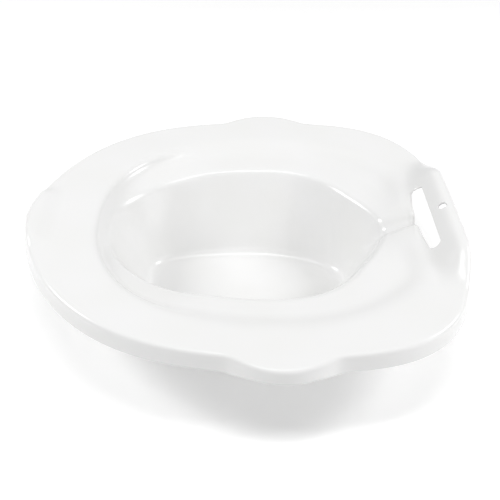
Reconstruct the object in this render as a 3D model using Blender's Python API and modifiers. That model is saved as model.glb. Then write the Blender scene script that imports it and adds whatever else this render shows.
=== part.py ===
"""Over-the-toilet sitz basin, a bedpan-like ward basin, as one white polypropylene moulding.

The basin is a single thin wall.  Its top surface is described by a section that runs from the foot
of the skirt, over the rolled edge, across the rim, down a step to a seat ledge, down the bowl wall
and across the floor.  The section is swept round a vertical line through the bowl, and each corner
of the section follows its own oval in plan.  The moulding is cut into its named regions, with a
hairline between neighbours, and every region is an open surface that Solidify gives its wall.

Frame: +X towards the handle end, +Z up, origin on the ground under the middle of the basin.
"""
import math

import bmesh
import bpy
import numpy as np

MM = 0.001
OBJECT_NAME = "sitz_basin"

# Driving dimensions, in millimetres.
WALL = 2.3                    # wall thickness of the moulding
RIM_HEIGHT = 88.0             # flat top of the rim above the ground
FLOOR_TOP = WALL              # inner face of the floor above the ground
SKIRT = 16.0                  # depth of the skirt under the rim
EAR_SKIRT = 12.0              # depth of the skirt at an ear tip
SKIRT_FLARE = 3.0             # how far the skirt's foot stands out
GAP = 0.3                     # hairline between neighbouring regions

# Side ears, the straight raised handle end, its hand slot and hanging hole, and the pouring lip.
EAR_X = 30.0                  # middle of both ears
EAR_RADIUS = 63.5             # plan radius of an ear
EAR_TIP = 184.5               # ear tip from the centre line
EAR_SKIRT_RUN = 22.0          # half the run of the shallow skirt, and the length of its fade
HANDLE_EDGE_X = 202.0         # straight outer edge of the handle end
HANDLE_LIFT = 17.0            # how far that edge stands above the rim
LIFT_START_X = 167.0          # where the handle end starts to rise
LIFT_RUN = 26.0               # and the length of its rise
LIFT_HALF_WIDTH = 50.0        # half the width that is fully raised
LIFT_SIDE_RUN = 50.0          # and the run over which the rise dies away either side of it
SLOT_X = 174.0                # spine of the hand slot
SLOT_SPINE = 39.5             # half the length of that spine
SLOT_OUTER = 5.0              # from the spine to the slot's straight outer side
SLOT_INNER = 6.7              # and to its bowed inner side, at the middle
SLOT_BOW = 3.7                # how much nearer the inner side comes at the spine's ends
HANG_HOLE_X = 188.5
HANG_HOLE_RADIUS = 4.0
LIP_HALF_WIDTH = 38.0
LIP_FADE = 8.0                # distance either side of the lip's ends over which it fades
LIP_LIFT = 4.0
LIP_START_X = -168.0          # where the lip starts to rise
LIP_RUN = 24.0                # and the length of its rise

# Ovals in plan: middle, reach to the left and right, half width, powers of x and y at each end.
BODY_OVAL = (45.0, 244.0, 158.0, 169.5, (3.0, 1.65), (3.0, 3.0))
RIM_OVAL = (30.0, 165.0, 158.0, 136.0, (2.3, 2.3), (2.05, 2.05))
LEDGE_OVAL = (30.0, 155.0, 93.0, 95.0, (2.3, 2.1), (2.15, 2.15))
FLOOR_OVAL = (8.0, 98.0, 98.0, 42.5, (3.3, 3.3), (2.4, 2.4))

# Falls and widths inside the rim: at the sides, then the change at the handle and pouring ends.
RIM_FALL, RIM_FALL_HANDLE, RIM_FALL_LEFT = 4.0, -3.0, -1.5
STEP_WIDTH, STEP_HANDLE, STEP_LEFT = 17.0, -3.0, -12.0
LEDGE_DEPTH, LEDGE_HANDLE, LEDGE_LEFT = 11.0, -4.5, -1.0
LEDGE_END, LEDGE_END_LEFT = 13.5, 5.0
LEDGE_LEAST_WIDTH = 7.0
HANDLE_DENT = 24.0            # how far the rim's inner edge comes in, in front of the hand slot
BEAK_LENGTH = 16.0            # the bowl's mouth reaches this much further, under the channel
BEAK_HALF_WIDTH = 55.0
BEAK_SOFTNESS = 4.0
BEAK_POWER = 1.3

# Overflow channel, from the bowl to the middle of the hand slot.
CHANNEL_X = 120.0             # where it starts, on the bowl wall
CHANNEL_LENGTH = 46.0
CHANNEL_HALF_WIDTH = 11.0      # at the slot
CHANNEL_SPREAD = 6.0          # how much wider it is at the bowl
CHANNEL_DEPTH = 5.5
CHANNEL_FADE_IN = 16.0        # length of its run-in, from the bowl side
CHANNEL_FADE_OUT = 7.0        # length of its run-out, inside the slot
WALL_CHANNEL_LOW = 28.0       # height on the bowl wall below which there is no channel
WALL_CHANNEL_RUN = 35.0       # and the height over which it comes in

# The vertical line that the section turns about, and the angles where regions end, in degrees.
SWEEP_X = 12.0
HANDLE_ANGLE = 24.0
LEFT_START = 0.35             # the pouring end starts here, as a cosine of the angle from it
LEFT_RUN = 0.45               # and takes this much more of it to be reached in full
DENT_START = 8.0             # the dent in front of the slot is full up to here
DENT_END = 32.0               # and has faded away here
EAR_START = 66.0
EAR_END = 103.0
LIP_ANGLE = 167.0
LEDGE_LEFT_ANGLE = 135.0      # the ledge's and the bowl wall's rounded end starts here
WALL_RIGHT_ANGLE = 42.0       # and the bowl wall's other end reaches to here
HAIRLINE_RADIUS = 100.0       # distance at which a hairline between two angles is exactly GAP wide
MARGIN_ANGLE = 0.8            # a narrow column beside each such hairline
CUTTER_HEIGHT = 80.0          # height of the upright cutters, centred on the rim


def smooth_step(value):
    """0 below 0, 1 above 1, and a smooth 3t^2 - 2t^3 between."""
    t = np.clip(value, 0.0, 1.0)
    return t * t * (3.0 - 2.0 * t)


def soft_max(a, b, blend):
    """The larger of two values, rounded over where they cross."""
    return 0.5 * (a + b + np.sqrt((a - b) ** 2 + blend ** 2))


def soft_min(a, b, blend):
    """The smaller of two values, rounded over where they cross."""
    return 0.5 * (a + b - np.sqrt((a - b) ** 2 + blend ** 2))


def oval(angle, centre_x, left, right, half, left_powers, right_powers):
    """Distance from the sweep line to the oval |x/a|^p + |y/b|^q = 1, with its own ends."""
    low = np.zeros_like(angle)
    high = np.full_like(angle, 400.0)
    for _ in range(40):
        middle = 0.5 * (low + high)
        x = SWEEP_X + middle * np.cos(angle) - centre_x
        y = np.abs(middle * np.sin(angle)) / half
        on_left = (np.abs(x) / left) ** left_powers[0] + y ** left_powers[1]
        on_right = (np.abs(x) / right) ** right_powers[0] + y ** right_powers[1]
        outside = np.where(x < 0.0, on_left, on_right) > 1.0
        high = np.where(outside, middle, high)
        low = np.where(outside, low, middle)
    return 0.5 * (low + high)


def ear_reach(angle):
    """Distance from the sweep line to the round outline of an ear, or 0 where the ray misses it."""
    centre_x = EAR_X - SWEEP_X
    centre_y = EAR_TIP - EAR_RADIUS
    along = centre_x * np.cos(angle) + centre_y * np.abs(np.sin(angle))
    inside = along ** 2 - (centre_x ** 2 + centre_y ** 2 - EAR_RADIUS ** 2)
    return np.where(inside > 0.0, along + np.sqrt(np.maximum(inside, 0.0)), 0.0)


def outline(angle):
    """Outer outline of the rim: egg-shaped body, two ears and the straight handle edge."""
    reach = oval(angle, *BODY_OVAL)
    towards_handle = np.maximum(np.cos(angle), 0.2)
    reach = soft_min(reach, (HANDLE_EDGE_X - SWEEP_X) / towards_handle, 3.0)
    return soft_max(reach, ear_reach(angle), 5.0)


def lip_share(y):
    """1 across the pouring lip, fading to 0 past its ends."""
    return 1.0 - smooth_step((np.abs(y) - LIP_HALF_WIDTH + LIP_FADE) / (2.0 * LIP_FADE))


def handle_share(angle):
    """1 in front of the hand slot, 0 past the ends of the handle."""
    turned = np.abs(np.degrees(np.arctan2(np.sin(angle), np.cos(angle))))
    return 1.0 - smooth_step((turned - DENT_START) / (DENT_END - DENT_START))


def left_share(angle):
    """1 at the pouring end, where step and ledge run out, 0 at the sides and the handle end."""
    return smooth_step((-np.cos(angle) - LEFT_START) / LEFT_RUN)


def ear_share(angle, edge):
    """1 across the middle of each ear, fading to 0 towards its ends."""
    x = SWEEP_X + edge * np.cos(angle)
    along = 1.0 - smooth_step((np.abs(x - EAR_X) - EAR_SKIRT_RUN) / EAR_SKIRT_RUN)
    return along * (np.abs(np.sin(angle)) > 0.7)


def beak(angle, reach):
    """Extra reach of the bowl's mouth, to a soft point under the overflow channel."""
    y = np.hypot(reach * np.sin(angle), BEAK_SOFTNESS)
    extra = BEAK_LENGTH * np.maximum(1.0 - y / BEAK_HALF_WIDTH, 0.0) ** BEAK_POWER
    return np.where(np.cos(angle) > 0.0, extra, 0.0)


def section_corners(angle):
    """Corners (distance, height) of the section from the skirt's foot to the floor's centre."""
    at_handle = handle_share(angle)
    at_left = left_share(angle)
    edge = outline(angle)
    skirt = SKIRT - (SKIRT - EAR_SKIRT) * ear_share(angle, edge)

    inner = oval(angle, *RIM_OVAL) - HANDLE_DENT * at_handle
    ledge_outer = inner - (STEP_WIDTH + STEP_HANDLE * at_handle + STEP_LEFT * at_left)
    ledge_inner = oval(angle, *LEDGE_OVAL)
    ledge_inner = ledge_inner + beak(angle, ledge_inner)
    ledge_inner = np.minimum(ledge_inner, ledge_outer - LEDGE_LEAST_WIDTH)

    rim_fall = RIM_FALL + RIM_FALL_HANDLE * at_handle + RIM_FALL_LEFT * at_left
    ledge = LEDGE_DEPTH + LEDGE_HANDLE * at_handle + LEDGE_LEFT * at_left
    level_floor = np.full_like(angle, FLOOR_TOP)
    return [
        (edge + SKIRT_FLARE, RIM_HEIGHT - skirt),
        (edge, np.full_like(angle, RIM_HEIGHT)),
        (inner, RIM_HEIGHT - rim_fall),
        (ledge_outer, RIM_HEIGHT - ledge),
        (ledge_inner, RIM_HEIGHT - LEDGE_END - LEDGE_END_LEFT * at_left),
        (oval(angle, *FLOOR_OVAL), level_floor),
        (np.zeros_like(angle), level_floor),
    ]


# How far the rounding reaches either side of each inner corner: edge, rim, step, ledge, floor.
ROUNDING = (4.8, 8.0, 6.0, 5.0, 9.0)
ROUND_STEPS = (4, 2, 2, 3, 3)
ROUND_LIMIT = 0.42            # and the most of a straight run that one rounding may take
# Region limits, as shares of the straight runs: across the rim, the step, the ledge and the floor.
RIM_OUTER_CUT = 0.20
RIM_INNER_CUT = 0.50
LEDGE_CUT = 0.5
LEDGE_MARGIN = 0.12           # a short row beside the ledge's hairline, so both sides face one way
RIM_MARGIN = 0.06             # and the same beside the rim's outer hairline
FLOOR_CUT = 0.15


def bands(angle):
    """Section points as lists of (distance, height), one list for each band of the moulding."""
    corners = [np.stack(corner, axis=-1) for corner in section_corners(angle)]
    starts = []
    ends = []
    arcs = []
    for k, (reach, steps) in enumerate(zip(ROUNDING, ROUND_STEPS), start=1):
        before = corners[k - 1] - corners[k]
        after = corners[k + 1] - corners[k]
        before_length = np.linalg.norm(before, axis=-1, keepdims=True)
        after_length = np.linalg.norm(after, axis=-1, keepdims=True)
        start = corners[k] + before / before_length * np.minimum(reach, ROUND_LIMIT * before_length)
        end = corners[k] + after / after_length * np.minimum(reach, ROUND_LIMIT * after_length)
        arc = []
        for step in range(steps + 1):
            t = step / steps
            arc.append((1 - t) ** 2 * start + 2 * t * (1 - t) * corners[k] + t ** 2 * end)
        starts.append(start)
        ends.append(end)
        arcs.append(arc)

    def cut(a, b, share):
        """The two sides of a hairline across the straight run from a to b."""
        run = b - a
        length = np.linalg.norm(run, axis=-1, keepdims=True)
        middle = a + share * run
        half_gap = 0.5 * GAP * run / length
        return middle - half_gap, middle + half_gap

    rim_outer = cut(ends[0], starts[1], RIM_OUTER_CUT)
    rim_inner = cut(ends[1], starts[2], RIM_INNER_CUT)
    ledge = cut(ends[2], starts[3], LEDGE_CUT)
    floor = cut(ends[4], corners[6], FLOOR_CUT)
    ledge_run = starts[3] - ends[2]
    rim_margin = RIM_MARGIN * (starts[1] - ends[0])
    before_cut = ledge[0] - LEDGE_MARGIN * ledge_run
    after_cut = ledge[1] + LEDGE_MARGIN * ledge_run
    wall_points = [ends[3] + share * (starts[4] - ends[3]) for share in (0.33, 0.67)]
    return {
        "edge": [corners[0]] + arcs[0] + [rim_outer[0] - rim_margin, rim_outer[0]],
        "rim": [rim_outer[1], rim_outer[1] + rim_margin, 0.5 * (rim_outer[1] + starts[1])]
        + arcs[1] + [rim_inner[0]],
        "step": [rim_inner[1]] + arcs[2] + [before_cut, ledge[0]],
        "wall": [ledge[1], after_cut] + arcs[3] + wall_points + arcs[4] + [floor[0]],
        "floor": [floor[1], 0.5 * floor[1] + 0.5 * corners[6]],
    }


def lift(x, y):
    """Rise of the handle end above the rim."""
    across = 1.0 - smooth_step((np.abs(y) - LIFT_HALF_WIDTH) / LIFT_SIDE_RUN)
    return HANDLE_LIFT * across * smooth_step((x - LIFT_START_X) / LIFT_RUN)


def lip_lift(x, y):
    """Rise of the pouring lip above the rim."""
    return LIP_LIFT * lip_share(y) * smooth_step((LIP_START_X - x) / LIP_RUN)


def channel(x, y):
    """Depth of the overflow channel that funnels from the bowl to the middle of the hand slot."""
    along = np.clip((x - CHANNEL_X) / CHANNEL_LENGTH, 0.0, 1.0)
    half_width = CHANNEL_HALF_WIDTH + CHANNEL_SPREAD * (1.0 - along)
    start = smooth_step((x - CHANNEL_X) / CHANNEL_FADE_IN)
    end = smooth_step((SLOT_X - x) / CHANNEL_FADE_OUT)
    return CHANNEL_DEPTH * start * end * (1.0 - smooth_step(np.abs(y) / half_width))


def place(points, angle):
    """World points, in metres, of section points at the given angles."""
    x = SWEEP_X + points[..., 0] * np.cos(angle)
    y = points[..., 0] * np.sin(angle)
    above_wall = smooth_step((points[..., 1] - WALL_CHANNEL_LOW) / WALL_CHANNEL_RUN)
    z = points[..., 1] + lift(x, y) + lip_lift(x, y) - channel(x, y) * above_wall
    return np.stack([x - MIDDLE_X, y, z], axis=-1) * MM


def grid_mesh(name, rows):
    """Mesh of a grid of points; rows run inwards and each row runs anticlockwise."""
    row_count, column_count = rows.shape[:2]
    faces = []
    for j in range(row_count - 1):
        for i in range(column_count - 1):
            a = j * column_count + i
            faces.append((a, a + 1, a + 1 + column_count, a + column_count))
    mesh = bpy.data.meshes.new(name)
    mesh.from_pydata(rows.reshape(-1, 3).tolist(), [], faces)
    return mesh


def ring_angles():
    """Angles in degrees right round, closest together at the ears and at the handle."""
    quarter = [
        np.linspace(0.0, HANDLE_ANGLE, 9, endpoint=False),
        np.linspace(HANDLE_ANGLE, EAR_START, 11, endpoint=False),
        np.linspace(EAR_START, EAR_END, 10, endpoint=False),
        np.linspace(EAR_END, LIP_ANGLE, 10, endpoint=False),
        np.linspace(LIP_ANGLE, 180.0, 3, endpoint=False),
    ]
    half = np.concatenate(quarter)
    return np.concatenate([half, [180.0], 360.0 - half[:0:-1]])


def span(start, end):
    """The ring's angles between two limits, in radians, with half a hairline left at each end."""
    inset = math.degrees(0.5 * GAP / HAIRLINE_RADIUS)
    turns = np.concatenate([RING - 360.0, RING])
    between = turns[(turns > start + 1.5 * MARGIN_ANGLE) & (turns < end - 1.5 * MARGIN_ANGLE)]
    first = [start + inset, start + MARGIN_ANGLE]
    last = [end - MARGIN_ANGLE, end - inset]
    return np.radians(np.concatenate([first, between, last]))


def region(name, band_names, angle):
    """One region of the moulding: the bands between two angles, as an open surface with a wall."""
    section = bands(angle)
    points = []
    for band_name in band_names:
        fresh = section[band_name]
        if points:
            fresh = fresh[1:]
            points.pop()
        points.extend(fresh)
    rows = place(np.stack(points), angle[np.newaxis, :])
    part = bpy.data.objects.new(name, grid_mesh(name, rows))
    parts.objects.link(part)
    return part


def add_wall(part):
    """Give an open surface the wall of the moulding, below and inside it."""
    wall = part.modifiers.new("wall", "SOLIDIFY")
    wall.thickness = WALL * MM
    wall.offset = -1.0
    wall.use_even_offset = False
    wall.use_rim = True


def cut_with(part, cutter):
    """Cut a hole through a part."""
    hole = part.modifiers.new(cutter.name, "BOOLEAN")
    hole.operation = "DIFFERENCE"
    hole.solver = "EXACT"
    hole.object = cutter


def polypropylene(name, shade):
    """White moulded polypropylene; the shade differs a little so that regions can be told apart."""
    material = bpy.data.materials.new(name)
    material.use_nodes = True
    shader = material.node_tree.nodes["Principled BSDF"]
    shader.inputs["Base Color"].default_value = (shade, shade, shade, 1.0)
    shader.inputs["Roughness"].default_value = 0.28
    shader.inputs["Metallic"].default_value = 0.0
    return material


def floor_pan():
    """Flat floor: one ring, and one face over the middle."""
    angle = np.radians(RING[::2])
    section = bands(angle)["floor"]
    rows = place(np.stack(section), angle[np.newaxis, :])
    count = rows.shape[1]
    vertices = rows.reshape(-1, 3).tolist()
    faces = []
    for i in range(count):
        following = (i + 1) % count
        faces.append((i, following, count + following, count + i))
    faces.append(tuple(range(count, 2 * count)))
    mesh = bpy.data.meshes.new("floor_pan")
    mesh.from_pydata(vertices, [], faces)
    part = bpy.data.objects.new("floor_pan", mesh)
    parts.objects.link(part)
    return part


def slot_outline(steps):
    """Points right round the hand slot: a straight outer side, a bowed inner side, round ends."""
    y = np.linspace(-SLOT_SPINE, SLOT_SPINE, steps)
    bowed = SLOT_INNER - SLOT_BOW * (y / SLOT_SPINE) ** 2
    end_inner = SLOT_INNER - SLOT_BOW
    turn = np.linspace(0.0, math.pi, steps)[1:-1]
    reach = SLOT_OUTER + (end_inner - SLOT_OUTER) * 0.5 * (1.0 - np.cos(turn))
    round_x = reach * np.cos(turn)
    round_y = SLOT_SPINE + reach * np.sin(turn)
    outer_side = [(SLOT_OUTER, -SLOT_SPINE), (SLOT_OUTER, SLOT_SPINE)]
    far_end = list(zip(round_x, round_y))
    inner_side = list(zip(-bowed[::-1], y[::-1]))
    near_end = list(zip(round_x[::-1], -round_y[::-1]))
    return outer_side + far_end + inner_side + near_end


def slot_cutter():
    """Upright block in the shape of the hand slot."""
    curve = bpy.data.curves.new("slot_cutter", "CURVE")
    curve.dimensions = "2D"
    curve.fill_mode = "BOTH"
    curve.extrude = 0.5 * CUTTER_HEIGHT * MM
    spline = curve.splines.new("POLY")
    points = slot_outline(9)
    spline.points.add(len(points) - 1)
    for point, (x, y) in zip(spline.points, points):
        point.co = ((SLOT_X - MIDDLE_X + x) * MM, y * MM, 0.0, 1.0)
    spline.use_cyclic_u = True
    return as_cutter(curve)


def hole_cutter():
    """Upright round bar, the shape of the hanging hole."""
    bpy.ops.mesh.primitive_cylinder_add(
        vertices=20, radius=HANG_HOLE_RADIUS * MM, depth=CUTTER_HEIGHT * MM,
        location=((HANG_HOLE_X - MIDDLE_X) * MM, 0.0, RIM_HEIGHT * MM))
    cutter = bpy.context.object
    cutter.name = "hang_hole_cutter"
    bpy.context.collection.objects.unlink(cutter)
    hide_cutter(cutter)
    return cutter


def as_cutter(curve):
    """A closed mesh cutter from an extruded outline, at rim height."""
    guide = bpy.data.objects.new(curve.name, curve)
    cutters.objects.link(guide)
    bpy.context.view_layer.update()
    evaluated = guide.evaluated_get(bpy.context.evaluated_depsgraph_get())
    mesh = bpy.data.meshes.new_from_object(evaluated)
    cutter = bpy.data.objects.new(curve.name + "_block", mesh)
    cutter.location = (0.0, 0.0, RIM_HEIGHT * MM)
    bpy.data.objects.remove(guide)
    hide_cutter(cutter)
    weld(mesh)
    return cutter


def hide_cutter(cutter):
    """Keep a cutter out of renders, and show it as wire."""
    cutters.objects.link(cutter)
    cutter.hide_render = True
    cutter.display_type = "WIRE"


def weld(mesh):
    """Join a mesh's coincident points."""
    working = bmesh.new()
    working.from_mesh(mesh)
    bmesh.ops.remove_doubles(working, verts=working.verts, dist=0.00001)
    bmesh.ops.recalc_face_normals(working, faces=working.faces)
    working.to_mesh(mesh)
    working.free()


for old in list(bpy.data.objects):
    bpy.data.objects.remove(old)
RING = ring_angles()
MIDDLE_X = SWEEP_X + 0.5 * float(outline(np.zeros(1))[0] - outline(np.full(1, math.pi))[0])
parts = bpy.data.collections.new(OBJECT_NAME)
cutters = bpy.data.collections.new("cutters")
bpy.context.scene.collection.children.link(parts)
bpy.context.scene.collection.children.link(cutters)

built = [
    floor_pan(),
    region("seat_ledge_left", ["step"], span(LEDGE_LEFT_ANGLE, 360.0 - LEDGE_LEFT_ANGLE)),
    region("overflow_channel", ["step"], span(-HANDLE_ANGLE, HANDLE_ANGLE)),
    region("handle_plate", ["edge", "rim"], span(-HANDLE_ANGLE, HANDLE_ANGLE)),
    region("pouring_lip", ["edge", "rim"], span(LIP_ANGLE, 360.0 - LIP_ANGLE)),
]
for side, sign in (("back", 1.0), ("front", -1.0)):
    spans = {
        "bowl_wall_" + side + "_right": (["wall"], 0.0, WALL_RIGHT_ANGLE),
        "bowl_wall_" + side: (["wall"], WALL_RIGHT_ANGLE, LEDGE_LEFT_ANGLE),
        "bowl_wall_" + side + "_left": (["wall"], LEDGE_LEFT_ANGLE, 180.0),
        "seat_ledge_" + side: (["step"], HANDLE_ANGLE, LEDGE_LEFT_ANGLE),
        "rim_flange_" + side: (["rim"], HANDLE_ANGLE, LIP_ANGLE),
        "skirt_" + side + "_right": (["edge"], HANDLE_ANGLE, EAR_START),
        "ear_" + side: (["edge"], EAR_START, EAR_END),
        "skirt_" + side + "_left": (["edge"], EAR_END, LIP_ANGLE),
    }
    for name, (band_names, start, end) in spans.items():
        run = span(start, end)
        built.append(region(name, band_names, run if sign > 0.0 else -run[::-1]))

for number, part in enumerate(built):
    shade = 0.86 - 0.02 * (number % 4)
    part.data.materials.append(polypropylene("polypropylene_" + part.name, shade))
    part.data.shade_smooth()
    add_wall(part)

handle = bpy.data.objects["handle_plate"]
cut_with(handle, slot_cutter())
cut_with(handle, hole_cutter())
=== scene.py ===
"""Over-the-toilet sitz basin: one seamless wall of glossy white moulded polypropylene.

The top of the wall is a section swept right round a vertical line through the bowl.  The section
runs from the foot of the skirt, over the rolled edge, across the rim, down a step to the seat
ledge, down the bowl wall and across the floor, and each of its corners follows its own oval in
plan.  Two blocks of that grid, at the handle end, are laid out again as rings round the hand slot
and the hanging hole.  Solidify then gives the whole surface its wall.

Lengths are in millimetres until a mesh is made.  X is along the basin, towards the handle end.
"""

import math

import bpy
import numpy as np
from mathutils import Matrix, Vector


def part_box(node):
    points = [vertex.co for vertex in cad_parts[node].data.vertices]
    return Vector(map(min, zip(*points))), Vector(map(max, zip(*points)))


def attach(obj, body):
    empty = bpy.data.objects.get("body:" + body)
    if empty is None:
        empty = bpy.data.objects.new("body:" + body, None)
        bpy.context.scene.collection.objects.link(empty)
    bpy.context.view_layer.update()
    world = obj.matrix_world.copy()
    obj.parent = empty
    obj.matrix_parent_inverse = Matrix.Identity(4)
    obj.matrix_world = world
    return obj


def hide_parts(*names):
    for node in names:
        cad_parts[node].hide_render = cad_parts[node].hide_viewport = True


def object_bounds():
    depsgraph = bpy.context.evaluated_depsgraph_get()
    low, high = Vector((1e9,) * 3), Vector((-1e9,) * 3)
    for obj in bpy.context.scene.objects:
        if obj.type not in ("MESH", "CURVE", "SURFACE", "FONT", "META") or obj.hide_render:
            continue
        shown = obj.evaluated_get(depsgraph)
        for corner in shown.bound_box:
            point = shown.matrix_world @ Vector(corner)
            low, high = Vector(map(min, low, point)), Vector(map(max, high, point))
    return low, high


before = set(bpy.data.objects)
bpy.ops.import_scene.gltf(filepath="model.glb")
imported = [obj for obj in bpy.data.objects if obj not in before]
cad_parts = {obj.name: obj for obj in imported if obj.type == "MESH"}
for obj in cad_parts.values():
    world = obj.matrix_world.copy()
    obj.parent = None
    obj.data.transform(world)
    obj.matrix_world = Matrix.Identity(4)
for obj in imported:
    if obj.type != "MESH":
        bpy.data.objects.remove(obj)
cad_low, cad_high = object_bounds()

MM = 0.001
WALL = (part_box("floor_pan")[1].z - cad_low.z) / MM
RIM_HEIGHT = 88.0             # flat top of the rim above the ground
FLOOR_TOP = WALL
SKIRT = 16.0                  # depth of the skirt under the rim
EAR_SKIRT = 12.0              # depth of the skirt at an ear tip
SKIRT_FLARE = 3.0             # how far the skirt's foot stands out

# Side ears, the straight raised handle end, its hand slot and hanging hole, and the pouring lip.
EAR_X = 30.0
EAR_RADIUS = 63.5
EAR_BLEND = 5.0               # rounding where an ear meets the body's outline
EAR_BLEND_RISE = 0.4          # how far that rounding moves the ear's tip out
EAR_TIP = cad_high.y / MM - SKIRT_FLARE - EAR_BLEND_RISE
EAR_SKIRT_RUN = 22.0          # half the run of the shallow skirt, and the length of its fade
HANDLE_EDGE_X = 202.0         # straight outer edge of the handle end
HANDLE_BLEND = 3.0            # rounding where that edge meets the body's outline
HANDLE_LIFT = 17.0            # how far that edge stands above the rim
LIFT_START_X = 167.0          # where the handle end starts to rise
LIFT_RUN = 26.0               # and the length of its rise
LIFT_HALF_WIDTH = 50.0        # half the width that is fully raised
LIFT_SIDE_RUN = 50.0          # and the run over which the rise dies away either side of it
SLOT_X = 174.0                # spine of the hand slot, and half its length
SLOT_SPINE = 39.5
SLOT_OUTER = 5.0              # from the spine to the slot's straight outer side
SLOT_INNER = 6.7              # and to its bowed inner side, at the middle
SLOT_BOW = 3.7                # how much nearer the inner side comes at the spine's ends
HANG_HOLE_X = 188.5
HANG_HOLE_RADIUS = 4.0
LIP_HALF_WIDTH = 38.0
LIP_FADE = 8.0                # distance either side of the lip's ends over which it fades
LIP_LIFT = 4.0
LIP_START_X = -168.0          # where the lip starts to rise
LIP_RUN = 24.0                # and the length of its rise

# Ovals in plan: middle, reach to the left and right, half width, powers of x and y at each end.
BODY_OVAL = (45.0, 244.0, 158.0, 169.5, (3.0, 1.65), (3.0, 3.0))
RIM_OVAL = (30.0, 165.0, 158.0, 136.0, (2.3, 2.3), (2.05, 2.05))
LEDGE_OVAL = (30.0, 155.0, 93.0, 95.0, (2.3, 2.1), (2.15, 2.15))
FLOOR_OVAL = (8.0, 98.0, 98.0, 42.5, (3.3, 3.3), (2.4, 2.4))

# Falls and widths inside the rim: at the sides, then the change at the handle and pouring ends.
RIM_FALL, RIM_FALL_HANDLE, RIM_FALL_LEFT = 4.0, -3.0, -1.5
STEP_WIDTH, STEP_HANDLE, STEP_LEFT = 17.0, -3.0, -12.0
LEDGE_DEPTH, LEDGE_HANDLE, LEDGE_LEFT = 11.0, -4.5, -1.0
LEDGE_END, LEDGE_END_LEFT = 13.5, 5.0
LEDGE_LEAST_WIDTH = 7.0
HANDLE_DENT = 24.0            # how far the rim's inner edge comes in, in front of the hand slot
BEAK_LENGTH = 16.0            # the bowl's mouth reaches this much further, under the channel
BEAK_HALF_WIDTH = 55.0
BEAK_SOFTNESS = 4.0
BEAK_POWER = 1.3

# Overflow channel, from the bowl to the middle of the hand slot.
CHANNEL_X = 120.0             # where it starts, on the bowl wall
CHANNEL_LENGTH = 46.0
CHANNEL_HALF_WIDTH = 11.0     # at the slot
CHANNEL_SPREAD = 6.0          # how much wider it is at the bowl
CHANNEL_DEPTH = 5.5
CHANNEL_FADE_IN = 16.0        # length of its run-in, from the bowl side
CHANNEL_FADE_OUT = 7.0        # length of its run-out, inside the slot
WALL_CHANNEL_LOW = 28.0       # height on the bowl wall below which there is no channel
WALL_CHANNEL_RUN = 35.0       # and the height over which it comes in

# The vertical line that the section turns about, and how far round the dent at the handle reaches.
SWEEP_X = 12.0
LEFT_START = 0.35             # the pouring end starts here, as a cosine of the angle from it
LEFT_RUN = 0.45               # and takes this much more of it to be reached in full
DENT_START = 8.0              # degrees from the handle's middle: the dent is full up to here
DENT_END = 32.0               # and has faded away here

# How far the rounding reaches either side of each inner corner: edge, rim, step, ledge, floor,
# and the number of grid rows across each rounding and each straight run between them.
ROUNDING = (4.8, 8.0, 6.0, 5.0, 9.0)
ROUND_ROWS = (10, 7, 7, 9, 9)
RUN_ROWS = (4, 14, 3, 5, 12, 7)
ROUND_LIMIT = 0.42

# Turned-down edges of the slot and the hole: radius, how far each side turns, and a short run on.
ROLL_RADIUS = 3.2
SLOT_TURN = (12.0, 80.0)      # degrees, at the slot's outer and inner side
HOLE_TURN = (10.0, 10.0)
ROLL_RUN_ON = 0.7
ROLL_ROWS = 6                 # rings round the arc of a turned-down edge

# Blocks of the grid that are laid out again as rings: reach beyond the opening, half width, rings.
SLOT_MARGIN_OUTER = 3.3
SLOT_MARGIN_INNER = 12.5
SLOT_BLOCK_HALF = 54.0
SLOT_RINGS = 4
HOLE_MARGIN = 5.6
HOLE_BLOCK_HALF = 6.5
HOLE_RINGS = 3

# Strength of the even surroundings, and each light's name, place, size (metres) and power (watts).
SURROUNDINGS = 0.37
LIGHT_TARGET = (0.0, 0.0, 0.05)
LIGHTS = (
    ("top_strip", (0.02, -0.12, 1.6), (0.75, 0.22), 5.0),
    ("left_softbox", (-1.3, 0.1, 1.1), (0.35, 0.5), 13.0),
    ("right_softbox", (1.3, 0.1, 1.1), (0.35, 0.5), 11.0),
    ("front_softbox", (0.0, -1.4, 1.3), (1.2, 0.8), 3.0),
    ("low_right_softbox", (1.5, -0.9, 0.7), (0.8, 0.8), 4.5),
)


def smooth_step(value):
    """0 below 0, 1 above 1, and 3t^2 - 2t^3 between."""
    t = np.clip(value, 0.0, 1.0)
    return t * t * (3.0 - 2.0 * t)


def soft_max(a, b, blend):
    """Half of a + b + sqrt((a - b)^2 + blend^2): the larger, rounded over where they cross."""
    return 0.5 * (a + b + np.sqrt((a - b) ** 2 + blend ** 2))


def soft_min(a, b, blend):
    """Half of a + b - sqrt((a - b)^2 + blend^2): the smaller, rounded over where they cross."""
    return 0.5 * (a + b - np.sqrt((a - b) ** 2 + blend ** 2))


def oval(angle, centre_x, left, right, half, left_powers, right_powers):
    """Distance from the sweep line to |x/a|^p + |y/b|^q = 1, by halving the interval along each ray."""
    low = np.zeros_like(angle)
    high = np.full_like(angle, 400.0)
    for _ in range(40):
        middle = 0.5 * (low + high)
        x = SWEEP_X + middle * np.cos(angle) - centre_x
        y = np.abs(middle * np.sin(angle)) / half
        on_left = (np.abs(x) / left) ** left_powers[0] + y ** left_powers[1]
        on_right = (np.abs(x) / right) ** right_powers[0] + y ** right_powers[1]
        outside = np.where(x < 0.0, on_left, on_right) > 1.0
        high = np.where(outside, middle, high)
        low = np.where(outside, low, middle)
    return 0.5 * (low + high)


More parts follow.
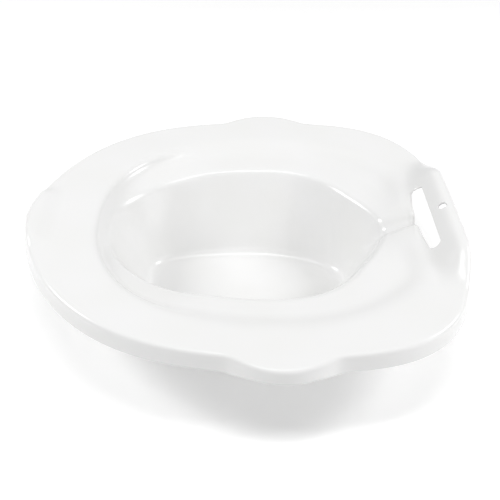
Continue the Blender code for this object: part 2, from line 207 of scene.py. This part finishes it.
def ear_reach(angle):
    """Distance along each ray to the far side of an ear's circle, or 0 where the ray misses it."""
    centre_x = EAR_X - SWEEP_X
    centre_y = EAR_TIP - EAR_RADIUS
    along = centre_x * np.cos(angle) + centre_y * np.abs(np.sin(angle))
    inside = along ** 2 - (centre_x ** 2 + centre_y ** 2 - EAR_RADIUS ** 2)
    return np.where(inside > 0.0, along + np.sqrt(np.maximum(inside, 0.0)), 0.0)


def lip_share(y):
    """1 across the pouring lip, fading to 0 past its ends."""
    return 1.0 - smooth_step((np.abs(y) - LIP_HALF_WIDTH + LIP_FADE) / (2.0 * LIP_FADE))


def outline(angle):
    """Outer outline of the rim: egg-shaped body, two ears and the straight handle edge."""
    reach = oval(angle, *BODY_OVAL)
    towards_handle = np.maximum(np.cos(angle), 0.2)
    reach = soft_min(reach, (HANDLE_EDGE_X - SWEEP_X) / towards_handle, HANDLE_BLEND)
    return soft_max(reach, ear_reach(angle), EAR_BLEND)


def handle_share(angle):
    """1 in front of the hand slot, 0 past the ends of the handle."""
    turned = np.abs(np.degrees(np.arctan2(np.sin(angle), np.cos(angle))))
    return 1.0 - smooth_step((turned - DENT_START) / (DENT_END - DENT_START))


def left_share(angle):
    """1 at the pouring end, where step and ledge run out, 0 at the sides and the handle end."""
    return smooth_step((-np.cos(angle) - LEFT_START) / LEFT_RUN)


def ear_share(angle, edge):
    """1 across the middle of each ear, fading to 0 towards its ends."""
    x = SWEEP_X + edge * np.cos(angle)
    along = 1.0 - smooth_step((np.abs(x - EAR_X) - EAR_SKIRT_RUN) / EAR_SKIRT_RUN)
    return along * (np.abs(np.sin(angle)) > 0.7)


def beak(angle, reach):
    """Extra reach of the bowl's mouth, to a soft point under the overflow channel."""
    y = np.hypot(reach * np.sin(angle), BEAK_SOFTNESS)
    extra = BEAK_LENGTH * np.maximum(1.0 - y / BEAK_HALF_WIDTH, 0.0) ** BEAK_POWER
    return np.where(np.cos(angle) > 0.0, extra, 0.0)


def section_corners(angle):
    """Corners (distance, height) of the section from the skirt's foot to the floor's centre."""
    at_handle = handle_share(angle)
    at_left = left_share(angle)
    edge = outline(angle)
    skirt = SKIRT - (SKIRT - EAR_SKIRT) * ear_share(angle, edge)

    inner = oval(angle, *RIM_OVAL) - HANDLE_DENT * at_handle
    ledge_outer = inner - (STEP_WIDTH + STEP_HANDLE * at_handle + STEP_LEFT * at_left)
    ledge_inner = oval(angle, *LEDGE_OVAL)
    ledge_inner = ledge_inner + beak(angle, ledge_inner)
    ledge_inner = np.minimum(ledge_inner, ledge_outer - LEDGE_LEAST_WIDTH)

    rim_fall = RIM_FALL + RIM_FALL_HANDLE * at_handle + RIM_FALL_LEFT * at_left
    ledge = LEDGE_DEPTH + LEDGE_HANDLE * at_handle + LEDGE_LEFT * at_left
    level_floor = np.full_like(angle, FLOOR_TOP)
    return [
        (edge + SKIRT_FLARE, RIM_HEIGHT - skirt),
        (edge, np.full_like(angle, RIM_HEIGHT)),
        (inner, RIM_HEIGHT - rim_fall),
        (ledge_outer, RIM_HEIGHT - ledge),
        (ledge_inner, RIM_HEIGHT - LEDGE_END - LEDGE_END_LEFT * at_left),
        (oval(angle, *FLOOR_OVAL), level_floor),
        (np.zeros_like(angle), level_floor),
    ]


def section(angle):
    """Rows of (distance, height): straight runs joined by quadratic curves at the corners."""
    corners = [np.stack(corner, axis=-1) for corner in section_corners(angle)]
    starts = []
    ends = [corners[0]]
    arcs = []
    for k, (reach, rows) in enumerate(zip(ROUNDING, ROUND_ROWS), start=1):
        before = corners[k - 1] - corners[k]
        after = corners[k + 1] - corners[k]
        before_length = np.linalg.norm(before, axis=-1, keepdims=True)
        after_length = np.linalg.norm(after, axis=-1, keepdims=True)
        start = corners[k] + before / before_length * np.minimum(reach, ROUND_LIMIT * before_length)
        end = corners[k] + after / after_length * np.minimum(reach, ROUND_LIMIT * after_length)
        t = np.linspace(0.0, 1.0, rows + 1)[:, None, None]
        arcs.append((1 - t) ** 2 * start + 2 * t * (1 - t) * corners[k] + t ** 2 * end)
        starts.append(start)
        ends.append(end)
    starts.append(corners[6])
    pieces = []
    for k, rows in enumerate(RUN_ROWS):
        t = np.linspace(0.0, 1.0, rows + 1)[:, None, None]
        run = (1 - t) * ends[k] + t * starts[k]
        pieces.append(run[1:-1] if k else run[:-1])
        if k < len(arcs):
            pieces.append(arcs[k])
    return np.concatenate(pieces)


def lift(x, y):
    """Rise of the handle end above the rim."""
    across = 1.0 - smooth_step((np.abs(y) - LIFT_HALF_WIDTH) / LIFT_SIDE_RUN)
    return HANDLE_LIFT * across * smooth_step((x - LIFT_START_X) / LIFT_RUN)


def lip_lift(x, y):
    """Rise of the pouring lip above the rim."""
    return LIP_LIFT * lip_share(y) * smooth_step((LIP_START_X - x) / LIP_RUN)


def channel(x, y):
    """Depth of the overflow channel that funnels from the bowl to the middle of the hand slot."""
    along = np.clip((x - CHANNEL_X) / CHANNEL_LENGTH, 0.0, 1.0)
    half_width = CHANNEL_HALF_WIDTH + CHANNEL_SPREAD * (1.0 - along)
    start = smooth_step((x - CHANNEL_X) / CHANNEL_FADE_IN)
    end = smooth_step((SLOT_X - x) / CHANNEL_FADE_OUT)
    return CHANNEL_DEPTH * start * end * (1.0 - smooth_step(np.abs(y) / half_width))


def height_above(x, y, height):
    """Final height of a point of the plain section: lifted at both ends, cut by the channel."""
    above_wall = smooth_step((height - WALL_CHANNEL_LOW) / WALL_CHANNEL_RUN)
    return height + lift(x, y) + lip_lift(x, y) - channel(x, y) * above_wall


def rim_height(x, y):
    """Height of the rim's straight run at a place in plan, for the rings round slot and hole."""
    angle = np.arctan2(y, x - SWEEP_X)
    distance = np.hypot(x - SWEEP_X, y)
    corners = section_corners(angle)
    share = (corners[1][0] - distance) / (corners[1][0] - corners[2][0])
    plain = corners[1][1] + share * (corners[2][1] - corners[1][1])
    return height_above(x, y, plain)


def ring_angles():
    """Angles right round from the pouring end, in radians, closest at the handle and the ears."""
    quarter = [
        np.linspace(0.0, 20.0, 60, endpoint=False),
        np.linspace(20.0, 62.0, 44, endpoint=False),
        np.linspace(62.0, 106.0, 72, endpoint=False),
        np.linspace(106.0, 180.0, 70),
    ]
    half = np.concatenate(quarter)
    return np.radians(np.concatenate([-half[:0:-1], half[:-1]]))


def nearest_row(distances, wanted):
    """Index of the grid row whose distance comes closest to the wanted one."""
    return int(np.argmin(np.abs(distances - wanted)))


def rings(points, rows, columns, centre_x, spine_half, radii, bow, turns, count):
    """Rings from a block's edge to an opening, then down over its turned edge.

    A ring point lies on the line from the block's edge to the nearest point of the opening's
    spine.  The opening's reach from the spine goes from its outer to its inner radius as
    (1 - cos(turn)) / 2, and the inner one is less by bow * (y / spine)^2.  The turned edge is an
    arc and a short straight run, and its whole turn changes from side to side in the same way.
    """
    r0, r1 = rows
    c0, c1 = columns
    edge_rows = np.concatenate([
        np.full(c1 - c0, r0), np.arange(r0, r1), np.full(c1 - c0, r1), np.arange(r1, r0, -1)])
    edge_columns = np.concatenate([
        np.arange(c0, c1), np.full(r1 - r0, c1), np.arange(c1, c0, -1), np.full(r1 - r0, c0)])
    edge = points[edge_rows, edge_columns]
    spine_y = np.clip(edge[:, 1], -spine_half, spine_half)
    away_x = edge[:, 0] - centre_x
    away_y = edge[:, 1] - spine_y
    reach = np.hypot(away_x, away_y)
    mismatch = edge[:, 2] - rim_height(edge[:, 0], edge[:, 1])
    inner_side = 0.5 * (1.0 - away_x / reach)
    inner_radius = radii[1] - bow * (spine_y / max(spine_half, 1.0)) ** 2
    radius = radii[0] + (inner_radius - radii[0]) * inner_side
    turn = np.radians(turns[0] + (turns[1] - turns[0]) * inner_side)
    roll_start = radius + ROLL_RADIUS * np.sin(turn) + ROLL_RUN_ON * np.cos(turn)

    made = []
    for t in np.linspace(0.0, 1.0, count + 1)[1:]:
        made.append((reach + t * (roll_start - reach), -mismatch * (1.0 - t) ** 2))
    for t in np.linspace(0.0, 1.0, ROLL_ROWS + 1)[1:]:
        made.append((roll_start - ROLL_RADIUS * np.sin(t * turn),
                     ROLL_RADIUS * (1.0 - np.cos(t * turn))))
    made.append((radius, made[-1][1] + ROLL_RUN_ON * np.sin(turn)))

    loops = []
    for distance, drop in made:
        x = centre_x + away_x / reach * distance
        y = spine_y + away_y / reach * distance
        loops.append(np.stack([x, y, rim_height(x, y) - drop], axis=-1))
    return edge_rows, edge_columns, np.stack(loops)


def surface_mesh(name):
    """The whole top surface: swept grid, floor centre, and the rings in the two opened blocks."""
    angle = ring_angles()
    rows = section(angle)
    x = SWEEP_X + rows[..., 0] * np.cos(angle)
    y = rows[..., 0] * np.sin(angle)
    points = np.stack([x, y, height_above(x, y, rows[..., 1])], axis=-1)[:-1]
    row_count, column_count = points.shape[:2]
    index = np.arange(row_count * column_count).reshape(row_count, column_count)
    kept = np.ones((row_count - 1, column_count), bool)

    middle = column_count // 2
    along = points[:, middle, 0]
    slot_right = SLOT_X + SLOT_OUTER + SLOT_MARGIN_OUTER
    blocks = [
        ((nearest_row(along, slot_right), nearest_row(along, SLOT_X - SLOT_MARGIN_INNER)),
         SLOT_BLOCK_HALF,
         (SLOT_X, SLOT_SPINE, (SLOT_OUTER, SLOT_INNER), SLOT_BOW, SLOT_TURN,
          SLOT_RINGS)),
        ((nearest_row(along, HANG_HOLE_X + HOLE_MARGIN), nearest_row(along, slot_right)),
         HOLE_BLOCK_HALF,
         (HANG_HOLE_X, 0.0, (HANG_HOLE_RADIUS, HANG_HOLE_RADIUS), 0.0, HOLE_TURN,
          HOLE_RINGS)),
    ]
    vertices = [points.reshape(-1, 3)]
    faces = []
    total = index.size
    for (r0, r1), half, opening in blocks:
        wide = np.flatnonzero(np.abs(points[r0, :, 1]) < half)
        wide = wide[np.abs(wide - middle) < column_count // 4]
        c0, c1 = wide[0], wide[-1]
        kept[r0:r1, c0:c1] = False
        edge_rows, edge_columns, loops = rings(points, (r0, r1), (c0, c1), *opening)
        ring_index = total + np.arange(loops.shape[0] * loops.shape[1]).reshape(loops.shape[:2])
        chain = np.concatenate([index[edge_rows, edge_columns][None], ring_index])
        after = np.roll(chain, -1, axis=1)
        faces.append(np.stack([chain[:-1], after[:-1], after[1:], chain[1:]], axis=-1).reshape(-1, 4))
        vertices.append(loops.reshape(-1, 3))
        total += ring_index.size

    after = np.roll(index, -1, axis=1)
    grid = np.stack([index[:-1], after[:-1], after[1:], index[1:]], axis=-1)
    faces.append(grid[kept])
    centre = np.array([[SWEEP_X, 0.0, FLOOR_TOP]])
    vertices.append(centre)
    fan = np.stack([index[-1], after[-1], np.full(column_count, total)], axis=-1)

    shift = SWEEP_X + float(outline(np.zeros(1))[0]) + SKIRT_FLARE - cad_high.x / MM
    placed = (np.concatenate(vertices) - np.array([shift, 0.0, 0.0])) * MM
    mesh = bpy.data.meshes.new(name)
    mesh.from_pydata(placed.tolist(), [], np.concatenate(faces).tolist() + fan.tolist())
    mesh.validate()
    return mesh


def hex_colour(text):
    """Linear RGBA of an sRGB hex colour."""
    channels = [int(text[k:k + 2], 16) / 255.0 for k in (1, 3, 5)]
    linear = [c / 12.92 if c <= 0.04045 else ((c + 0.055) / 1.055) ** 2.4 for c in channels]
    return (*linear, 1.0)


def add_node(tree, kind, settings=None, values=None, links=None):
    """Add a node with its settings, its input values and its input links."""
    node = tree.nodes.new(kind)
    for key, value in (settings or {}).items():
        setattr(node, key, value)
    for key, value in (values or {}).items():
        node.inputs[key].default_value = value
    for key, source in (links or {}).items():
        tree.links.new(source, node.inputs[key])
    return node


def noise(tree, place, scale, detail):
    """Height from 0 to 1 of a soft noise whose features are about 1 / scale metres across."""
    node = add_node(tree, "ShaderNodeTexNoise", values={"Scale": scale, "Detail": detail},
                    links={"Vector": place})
    return node.outputs["Fac"]


def ranged(tree, value, low, high, low_out, high_out):
    """A value taken from one range to another, and held at its ends."""
    node = add_node(
        tree, "ShaderNodeMapRange", links={"Value": value},
        values={"From Min": low, "From Max": high, "To Min": low_out, "To Max": high_out})
    return node.outputs["Result"]


def bumped(tree, height, distance, normal=None):
    """Normal of a surface raised by a height of up to a distance, in metres."""
    links = {"Height": height}
    if normal is not None:
        links["Normal"] = normal
    node = add_node(tree, "ShaderNodeBump", values={"Strength": 1.0, "Distance": distance},
                    links=links)
    return node.outputs["Normal"]


def times(tree, first, second):
    """Product of two values."""
    node = add_node(tree, "ShaderNodeMath", {"operation": "MULTIPLY"},
                    links={0: first, 1: second})
    return node.outputs["Value"]


def glossy_polypropylene():
    """White injection-moulded polypropylene, from a polished mould.

    Gives the eye a soft gloss with slightly wavy reflections, a skin with a fine 0.7 mm grain, a
    barely uneven white, faint handling marks, and a scuffed foot with the small round mark of the
    mould's gate in its middle.
    """
    material = bpy.data.materials.new("polypropylene_polished_mould")
    material.use_nodes = True
    tree = material.node_tree
    shader = tree.nodes["Principled BSDF"]
    place = add_node(tree, "ShaderNodeTexCoord").outputs["Object"]

    # Unevenly mixed pigment: clouds 50 mm across, between two whites.
    clouds = ranged(tree, noise(tree, place, 20.0, 1.0), 0.25, 0.75, 0.0, 1.0)
    white = add_node(tree, "ShaderNodeMix", {"data_type": "RGBA"},
                     {6: hex_colour("#e6e6e6"), 7: hex_colour("#e4e4e3")}, {0: clouds})
    tree.links.new(white.outputs[2], shader.inputs["Base Color"])

    # The foot, which stands on shelves: 1 on the underside, 0 from the top of the floor upwards.
    parts = add_node(tree, "ShaderNodeSeparateXYZ", links={"Vector": place})
    foot = ranged(tree, parts.outputs["Z"], 0.0006, 0.0012, 1.0, 0.0)
    scratch_place = add_node(tree, "ShaderNodeMapping", values={
        "Rotation": (0.0, 0.0, 0.6), "Scale": (60.0, 2200.0, 60.0)}, links={"Vector": place})
    scratches = noise(tree, scratch_place.outputs["Vector"], 1.0, 3.0)
    scuffs = times(tree, ranged(tree, scratches, 0.52, 0.66, 0.0, 1.0), foot)

    # Handling marks: patches about a centimetre across where the gloss is a little duller.
    marks = ranged(tree, noise(tree, place, 90.0, 3.0), 0.40, 0.75, 0.22, 0.26)
    roughness = add_node(tree, "ShaderNodeMath", {"operation": "MULTIPLY_ADD"},
                         {1: 0.25}, {0: scuffs, 2: marks})
    tree.links.new(roughness.outputs["Value"], shader.inputs["Roughness"])

    # Round gate mark, 5 mm across and raised a tenth of a millimetre, under the foot's middle.
    flat = add_node(tree, "ShaderNodeMapping", values={"Scale": (1.0, 1.0, 0.0)},
                    links={"Vector": place})
    from_middle = add_node(tree, "ShaderNodeVectorMath", {"operation": "LENGTH"},
                           links={0: flat.outputs["Vector"]})
    gate = ranged(tree, from_middle.outputs["Value"], 0.0022, 0.0028, 1.0, 0.0)

    # Cooling waves 40 mm long, then the grain of the skin, the scuffs and the gate mark.
    normal = bumped(tree, noise(tree, place, 25.0, 1.0), 0.00012)
    normal = bumped(tree, noise(tree, place, 1400.0, 1.0), 0.000004, normal)
    normal = bumped(tree, scuffs, 0.00001, normal)
    normal = bumped(tree, times(tree, gate, foot), 0.0001, normal)
    tree.links.new(normal, shader.inputs["Normal"])
    shader.inputs["IOR"].default_value = 1.49
    return material


def make_basin():
    """The basin's one wall, with eased edges, standing for every region of the frame."""
    mesh = surface_mesh("basin_wall")
    basin = bpy.data.objects.new("basin_wall", mesh)
    bpy.context.scene.collection.objects.link(basin)
    mesh.materials.append(glossy_polypropylene())
    mesh.shade_smooth()
    wall = basin.modifiers.new("wall", "SOLIDIFY")
    wall.thickness = WALL * MM
    wall.offset = -1.0
    wall.use_even_offset = False
    eased = basin.modifiers.new("eased_edges", "BEVEL")
    eased.width = 0.4 * MM
    eased.segments = 2
    eased.limit_method = "ANGLE"
    eased.angle_limit = math.radians(55.0)
    eased.harden_normals = True
    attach(basin, "root")
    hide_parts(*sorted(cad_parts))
    return basin


def make_floor():
    """Plain pale floor, far wider than the view."""
    bpy.ops.mesh.primitive_plane_add(size=40.0, location=(0.0, 0.0, 0.0))
    floor = bpy.context.object
    floor.name = "floor"
    material = bpy.data.materials.new("pale_floor")
    material.use_nodes = True
    shader = material.node_tree.nodes["Principled BSDF"]
    shader.inputs["Base Color"].default_value = hex_colour("#fbfbfb")
    shader.inputs["Roughness"].default_value = 0.9
    shader.inputs["Emission Color"].default_value = (1.0, 1.0, 1.0, 1.0)
    shader.inputs["Emission Strength"].default_value = 0.08
    floor.data.materials.append(material)


def make_light(name, place, target, size, energy):
    """A soft square light at a place, facing a target."""
    lamp = bpy.data.lights.new(name, "AREA")
    lamp.shape = "RECTANGLE"
    lamp.size, lamp.size_y = size
    lamp.energy = energy
    holder = bpy.data.objects.new(name, lamp)
    away = np.array(place) - np.array(target)
    turn = np.array([0.0, 0.0, 0.0])
    turn[0] = math.atan2(math.hypot(away[0], away[1]), away[2])
    turn[2] = math.atan2(away[0], -away[1])
    holder.location = place
    holder.rotation_euler = turn
    bpy.context.scene.collection.objects.link(holder)


def make_world(strength):
    """Even white surroundings."""
    world = bpy.data.worlds.new("studio")
    world.use_nodes = True
    background = world.node_tree.nodes["Background"]
    background.inputs["Color"].default_value = (1.0, 1.0, 1.0, 1.0)
    background.inputs["Strength"].default_value = strength
    bpy.context.scene.world = world


def make_camera():
    """Camera above the front of the basin, from its azimuth, elevation, roll and distance."""
    azimuth = math.radians(-3.20)
    elevation = math.radians(41.42)
    roll = math.radians(2.41)
    distance = 0.624
    target = np.array([0.00585, -0.0476, RIM_HEIGHT * MM])
    back = np.array([
        math.sin(azimuth) * math.cos(elevation),
        -math.cos(azimuth) * math.cos(elevation),
        math.sin(elevation)])
    right = np.cross(-back, (0.0, 0.0, 1.0))
    right /= np.linalg.norm(right)
    up = np.cross(right, -back)
    turned_right = math.cos(roll) * right + math.sin(roll) * up
    turned_up = math.cos(roll) * up - math.sin(roll) * right
    place = target + distance * back
    lens = bpy.data.cameras.new("camera")
    lens.lens = 50.4
    lens.sensor_width = 36.0
    lens.clip_start = 0.01
    camera = bpy.data.objects.new("camera", lens)
    rotation = Matrix([turned_right, turned_up, back]).transposed()
    camera.matrix_world = Matrix.Translation(place.tolist()) @ rotation.to_4x4()
    bpy.context.scene.collection.objects.link(camera)
    bpy.context.scene.camera = camera


bpy.context.scene.view_settings.view_transform = "Standard"
make_camera()
make_floor()
make_world(SURROUNDINGS)
for light_name, light_place, light_size, light_power in LIGHTS:
    make_light(light_name, light_place, LIGHT_TARGET, light_size, light_power)
make_basin()
